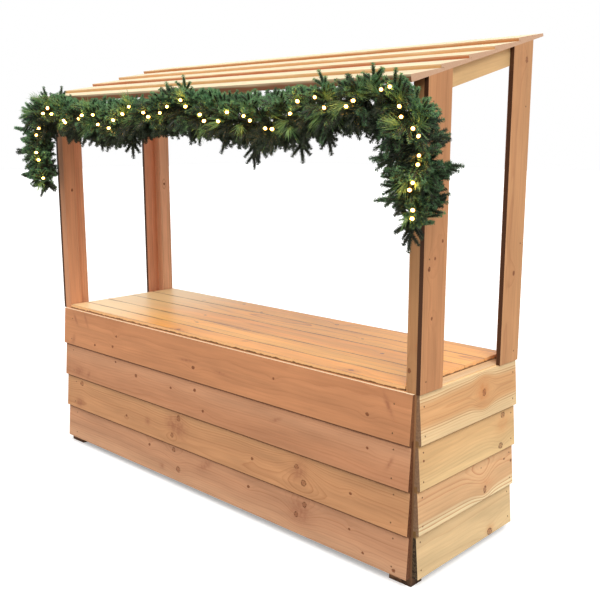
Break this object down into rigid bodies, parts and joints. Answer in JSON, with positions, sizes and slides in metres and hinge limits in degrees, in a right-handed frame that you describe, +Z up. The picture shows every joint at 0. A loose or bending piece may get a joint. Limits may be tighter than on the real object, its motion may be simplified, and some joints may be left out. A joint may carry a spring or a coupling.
{
  "type": "wooden market stall",
  "caption": "Open-sided wooden market stall: clapboard base with plank counter, corner posts, sloping lapped board roof and a lit fir garland along the eaves.",
  "frame": {"origin": "on the ground, under the middle of the whole stall with its garland", "axes": "+X along the stall to the right as the customer sees it, +Y from the serving side to the back, +Z up"},
  "size_m": [2.8, 1.0443, 2.1118],
  "materials": {
    "cladding": "sawn, dry, unpainted",
    "roof_board": "sawn, weathered pale",
    "counter": "planed, satin",
    "frame": "planed, unpainted",
    "garland": "matt plastic needles"
  },
  "bodies": {
    "root": {"back_board_1": "cladding", "back_board_2": "cladding", "back_board_3": "cladding", "back_board_4": "cladding", "back_rail": "frame", "base_legs": "frame", "counter_plank_1": "counter", "counter_plank_2": "counter", "counter_plank_3": "counter", "counter_plank_4": "counter", "counter_plank_5": "counter", "end_rails": "frame", "front_board_1": "cladding", "front_board_2": "cladding", "front_board_3": "cladding", "front_board_4": "cladding", "front_rail": "frame", "garland": "garland", "left_board_1": "cladding", "left_board_2": "cladding", "left_board_3": "cladding", "left_board_4": "cladding", "middle_bearer": "frame", "post_back_left": "frame", "post_back_right": "frame", "post_front_left": "frame", "post_front_right": "frame", "rafter_left": "frame", "rafter_middle": "frame", "rafter_right": "frame", "right_board_1": "cladding", "right_board_2": "cladding", "right_board_3": "cladding", "right_board_4": "cladding", "roof_board_1": "roof_board", "roof_board_2": "roof_board", "roof_board_3": "roof_board", "roof_board_4": "roof_board", "roof_board_5": "roof_board", "side_board_back_left": "frame", "side_board_back_right": "frame", "side_board_front_left": "frame", "side_board_front_right": "frame"}
  },
  "joints": []
}
